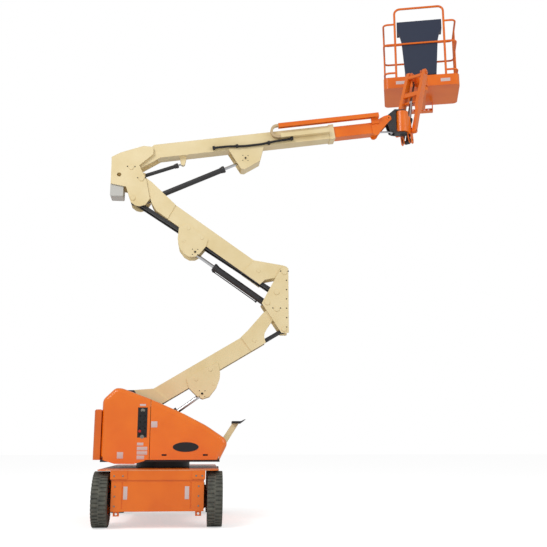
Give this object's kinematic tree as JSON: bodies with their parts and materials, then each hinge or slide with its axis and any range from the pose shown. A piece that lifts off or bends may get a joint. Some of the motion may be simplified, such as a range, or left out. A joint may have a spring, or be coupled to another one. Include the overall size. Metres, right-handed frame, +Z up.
{
  "type": "articulating boom lift",
  "caption": "Self-propelled electric work platform with a folding two-stage tower, telescopic boom, swinging jib and railed platform on a four-wheel steered chassis.",
  "frame": {"origin": "on the ground, under the centre of the turntable bearing", "axes": "+X the way the booms point, +Y along the chassis to its steered end, +Z up"},
  "size_m": [5.5562, 3.0588, 8.082],
  "materials": {
    "orange_paint": "gloss",
    "cream_paint": "gloss",
    "black_paint": "satin",
    "chrome_rod": "polished",
    "tyre_rubber": "matte",
    "cast_weight": "painted",
    "battery_case": "matte",
    "cover_moulding": "gloss",
    "black_plastic": "matte",
    "black_rubber": "matte",
    "pale_plastic": "matte",
    "console_plastic": "matte"
  },
  "bodies": {
    "chassis": {"chassis_frame": "orange_paint", "drive_hubs": "orange_paint", "steer_axle": "black_paint", "slew_ring": "black_paint"},
    "knuckle_left": {"knuckle_left": "black_paint"},
    "knuckle_right": {"knuckle_right": "black_paint"},
    "tie_rod": {"tie_rod": "black_paint"},
    "turntable": {"turntable_frame": "black_paint", "counterweight": "cast_weight", "battery_packs": "battery_case", "rear_covers": "cover_moulding", "ground_controls": "black_plastic", "boom_rest": "cream_paint", "boom_rest_pad": "black_rubber"},
    "front_cover_near": {"front_cover_near": "cover_moulding"},
    "front_cover_far": {"front_cover_far": "cover_moulding"},
    "lower_tower": {"lower_tower_boom": "cream_paint"},
    "lower_tower_link": {"lower_tower_link": "black_paint"},
    "lower_lift_barrel": {"lower_lift_barrel": "black_paint"},
    "lower_lift_rod": {"lower_lift_rod": "chrome_rod"},
    "mid_upright": {"mid_upright": "cream_paint"},
    "mid_lift_barrel": {"mid_lift_barrel": "black_paint"},
    "mid_lift_rod": {"mid_lift_rod": "chrome_rod"},
    "upper_tower": {"upper_tower_boom": "cream_paint"},
    "upper_tower_link": {"upper_tower_link": "black_paint"},
    "upper_upright": {"upper_upright": "cream_paint", "junction_box": "pale_plastic"},
    "main_lift_barrel": {"main_lift_barrel": "black_paint"},
    "main_lift_rod": {"main_lift_rod": "chrome_rod"},
    "master_barrel": {"master_barrel": "black_paint"},
    "master_rod": {"master_rod": "chrome_rod"},
    "main_boom": {"main_boom_base": "cream_paint", "track_tray": "cream_paint", "boom_cables": "black_rubber"},
    "power_track": {"power_track": "black_plastic"},
    "fly": {"fly_boom": "orange_paint", "fly_track_tube": "orange_paint"},
    "nose": {"nose_bracket": "black_paint"},
    "slave_barrel": {"slave_barrel": "black_paint"},
    "slave_rod": {"slave_rod": "chrome_rod"},
    "jib_rotator": {"jib_rotator": "orange_paint"},
    "jib_arm": {"jib_arm": "orange_paint"},
    "jib_level_link": {"jib_level_link": "black_paint"},
    "jib_lift_barrel": {"jib_lift_barrel": "black_paint"},
    "jib_lift_rod": {"jib_lift_rod": "chrome_rod"},
    "platform_support": {"platform_support": "orange_paint"},
    "platform": {"platform_frame": "orange_paint", "platform_console": "console_plastic"},
    "platform_gate": {"platform_gate": "orange_paint"},
    "wheel_drive_left": {"tyre_drive_left": "tyre_rubber", "rim_drive_left": "orange_paint"},
    "wheel_drive_right": {"tyre_drive_right": "tyre_rubber", "rim_drive_right": "orange_paint"},
    "wheel_steer_left": {"tyre_steer_left": "tyre_rubber", "rim_steer_left": "orange_paint"},
    "wheel_steer_right": {"tyre_steer_right": "tyre_rubber", "rim_steer_right": "orange_paint"}
  },
  "joints": [
    {"name": "wheel_spin_drive_left", "type": "hinge", "parent": "chassis", "child": "wheel_drive_left", "pos_m": [-0.661, -1, 0.3175], "axis": [1, 0, 0], "continuous": true},
    {"name": "wheel_spin_drive_right", "type": "hinge", "parent": "chassis", "child": "wheel_drive_right", "pos_m": [0.661, -1, 0.3175], "axis": [1, 0, 0], "continuous": true},
    {"name": "wheel_spin_steer_left", "type": "hinge", "parent": "knuckle_left", "child": "wheel_steer_left", "pos_m": [-0.661, 1, 0.3175], "axis": [1, 0, 0], "continuous": true},
    {"name": "wheel_spin_steer_right", "type": "hinge", "parent": "knuckle_right", "child": "wheel_steer_right", "pos_m": [0.661, 1, 0.3175], "axis": [1, 0, 0], "continuous": true},
    {"name": "steer", "type": "hinge", "parent": "chassis", "child": "knuckle_left", "pos_m": [-0.492, 1, 0.3175], "axis": [0, 0, 1], "range_deg": [-35, 35]},
    {"name": "steer_right", "type": "hinge", "parent": "chassis", "child": "knuckle_right", "pos_m": [0.492, 1, 0.3175], "axis": [0, 0, 1], "range_deg": [-35, 35]},
    {"name": "tie_rod_turn", "type": "hinge", "parent": "knuckle_left", "child": "tie_rod", "pos_m": [-0.492, 0.85, 0.2], "axis": [0, 0, 1], "range_deg": [-35, 35]},
    {"name": "turntable_swing", "type": "hinge", "parent": "chassis", "child": "turntable", "pos_m": [0, 0, 0.7], "axis": [0, 0, 1], "range_deg": [-90, 270]},
    {"name": "front_cover_near_open", "type": "hinge", "parent": "turntable", "child": "front_cover_near", "pos_m": [-0.136, -0.182, 1.494], "axis": [-0.8966, 0, 0.4428], "range_deg": [0, 75]},
    {"name": "front_cover_far_open", "type": "hinge", "parent": "turntable", "child": "front_cover_far", "pos_m": [-0.136, 0.182, 1.494], "axis": [0.8966, 0, -0.4428], "range_deg": [0, 75]},
    {"name": "tower_lift", "type": "hinge", "parent": "turntable", "child": "lower_tower", "pos_m": [-0.48, 0, 1.57], "axis": [0, -1, 0], "range_deg": [-31.05, 37]},
    {"name": "lower_link_turn", "type": "hinge", "parent": "turntable", "child": "lower_tower_link", "pos_m": [-0.379, 0, 1.296], "axis": [0, -1, 0], "range_deg": [-31.06, 37.01]},
    {"name": "lower_lift_tilt", "type": "hinge", "parent": "turntable", "child": "lower_lift_barrel", "pos_m": [-0.56, 0, 0.85], "axis": [0, -1, 0], "range_deg": [-19.41, 23.13]},
    {"name": "lower_lift_stroke", "type": "slide", "parent": "lower_lift_barrel", "child": "lower_lift_rod", "axis": [0.8135, 0, 0.5816], "range_m": [-0.2769, 0.3299]},
    {"name": "mid_upright_level", "type": "hinge", "parent": "lower_tower", "child": "mid_upright", "pos_m": [1.485, 0, 2.753], "axis": [0, -1, 0], "range_deg": [-37.01, 31.06]},
    {"name": "mid_lift_tilt", "type": "hinge", "parent": "mid_upright", "child": "mid_lift_barrel", "pos_m": [1.356, 0, 2.841], "axis": [0, 1, 0], "range_deg": [-29.38, 35.01]},
    {"name": "mid_lift_stroke", "type": "slide", "parent": "mid_lift_barrel", "child": "mid_lift_rod", "axis": [-0.8207, 0, 0.5714], "range_m": [-0.2546, 0.3033]},
    {"name": "upper_tower_raise", "type": "hinge", "parent": "mid_upright", "child": "upper_tower", "pos_m": [1.592, 0, 3.272], "axis": [0, 1, 0], "range_deg": [-31.06, 37.01]},
    {"name": "upper_link_turn", "type": "hinge", "parent": "mid_upright", "child": "upper_tower_link", "pos_m": [1.484, 0, 2.986], "axis": [0, 1, 0], "range_deg": [-31.06, 37.01]},
    {"name": "upper_upright_level", "type": "hinge", "parent": "upper_tower", "child": "upper_upright", "pos_m": [-0.409, 0, 4.565], "axis": [0, 1, 0], "range_deg": [-37.01, 31.06]},
    {"name": "boom_lift", "type": "hinge", "parent": "upper_upright", "child": "main_boom", "pos_m": [-0.557, 0, 4.728], "axis": [0, -1, 0], "range_deg": [-10, 61]},
    {"name": "main_lift_tilt", "type": "hinge", "parent": "upper_upright", "child": "main_lift_barrel", "pos_m": [-0.32, 0, 4.295], "axis": [0, -1, 0], "range_deg": [-9.18, 55.91]},
    {"name": "main_lift_stroke", "type": "slide", "parent": "main_lift_barrel", "child": "main_lift_rod", "axis": [0.9059, 0, 0.4236], "range_m": [-0.0801, 0.4861]},
    {"name": "master_tilt", "type": "hinge", "parent": "upper_upright", "child": "master_barrel", "pos_m": [-0.42, 0, 4.64], "axis": [0, -1, 0], "range_deg": [-10.54, 64.26]},
    {"name": "master_stroke", "type": "slide", "parent": "master_barrel", "child": "master_rod", "axis": [0.9389, 0, 0.3443], "range_m": [-0.0272, 0.1636]},
    {"name": "telescope", "type": "slide", "parent": "main_boom", "child": "fly", "axis": [0.9882, 0, 0.153], "range_m": [-0.55, 0.65]},
    {"name": "power_track_roll", "type": "slide", "parent": "main_boom", "child": "power_track", "axis": [0.9882, 0, 0.153], "range_m": [-0.2755, 0.3255]},
    {"name": "nose_level", "type": "hinge", "parent": "fly", "child": "nose", "pos_m": [3.14778, 0, 5.63546], "axis": [0, -1, 0], "range_deg": [-61.01, 10.01]},
    {"name": "slave_tilt", "type": "hinge", "parent": "fly", "child": "slave_barrel", "pos_m": [2.37403, 0, 5.40437], "axis": [0, -1, 0], "range_deg": [-0.56, 3.37]},
    {"name": "slave_stroke", "type": "slide", "parent": "slave_barrel", "child": "slave_rod", "axis": [0.9981, 0, 0.0618], "range_m": [-0.1952, 0.0324]},
    {"name": "jib_swing", "type": "hinge", "parent": "nose", "child": "jib_rotator", "pos_m": [3.36978, 0, 5.6], "axis": [0, 0, 1], "range_deg": [-140, 40]},
    {"name": "jib_lift", "type": "hinge", "parent": "jib_rotator", "child": "jib_arm", "pos_m": [3.45656, 0.10342, 5.5], "axis": [0.766, -0.6428, 0], "range_deg": [-127, 17]},
    {"name": "jib_link_turn", "type": "hinge", "parent": "jib_rotator", "child": "jib_level_link", "pos_m": [3.47391, 0.1241, 5.373], "axis": [0.766, -0.6428, 0], "range_deg": [-127.01, 17.01]},
    {"name": "jib_cylinder_tilt", "type": "hinge", "parent": "jib_rotator", "child": "jib_lift_barrel", "pos_m": [3.48163, 0.13329, 5.355], "axis": [0.766, -0.6428, 0], "range_deg": [-121.46, 16.27]},
    {"name": "jib_cylinder_stroke", "type": "slide", "parent": "jib_lift_barrel", "child": "jib_lift_rod", "axis": [0.1756, 0.2092, 0.962], "range_m": [-0.277, 0.0375]},
    {"name": "platform_level", "type": "hinge", "parent": "jib_arm", "child": "platform_support", "pos_m": [3.76799, 0.47457, 6.64143], "axis": [0.766, -0.6428, 0], "range_deg": [-17.01, 127.01]},
    {"name": "platform_turn", "type": "hinge", "parent": "platform_support", "child": "platform", "pos_m": [3.89655, 0.62778, 6.45], "axis": [0, 0, 1], "range_deg": [-115, 64]},
    {"name": "gate_swing", "type": "hinge", "parent": "platform", "child": "platform_gate", "pos_m": [3.91948, 1.64194, 7.34], "axis": [0, 0, -1], "range_deg": [0, 90]}
  ],
  "couplings": [
    {"joint": "steer_right", "follows": "steer", "ratio": 1},
    {"joint": "tie_rod_turn", "follows": "steer", "ratio": -1},
    {"joint": "lower_link_turn", "follows": "tower_lift", "ratio": 1},
    {"joint": "lower_lift_tilt", "follows": "tower_lift", "ratio": 0.62475},
    {"joint": "lower_lift_stroke", "follows": "tower_lift", "m_per_rad": 0.51002},
    {"joint": "mid_upright_level", "follows": "tower_lift", "ratio": -1},
    {"joint": "mid_lift_tilt", "follows": "tower_lift", "ratio": 0.94595},
    {"joint": "mid_lift_stroke", "follows": "tower_lift", "m_per_rad": 0.46896},
    {"joint": "upper_tower_raise", "follows": "tower_lift", "ratio": 1},
    {"joint": "upper_link_turn", "follows": "tower_lift", "ratio": 1},
    {"joint": "upper_upright_level", "follows": "tower_lift", "ratio": -1},
    {"joint": "main_lift_tilt", "follows": "boom_lift", "ratio": 0.91648},
    {"joint": "main_lift_stroke", "follows": "boom_lift", "m_per_rad": 0.45608},
    {"joint": "master_tilt", "follows": "boom_lift", "ratio": 1.0533},
    {"joint": "master_stroke", "follows": "boom_lift", "m_per_rad": 0.15316},
    {"joint": "power_track_roll", "follows": "telescope", "ratio": 0.5},
    {"joint": "nose_level", "follows": "boom_lift", "ratio": -1},
    {"joint": "slave_tilt", "follows": "boom_lift", "ratio": 0.055},
    {"joint": "slave_stroke", "follows": "boom_lift", "m_per_rad": -0.18283},
    {"joint": "jib_link_turn", "follows": "jib_lift", "ratio": 1},
    {"joint": "jib_cylinder_tilt", "follows": "jib_lift", "ratio": 0.9563},
    {"joint": "jib_cylinder_stroke", "follows": "jib_lift", "m_per_rad": 0.12475},
    {"joint": "platform_level", "follows": "jib_lift", "ratio": -1}
  ]
}
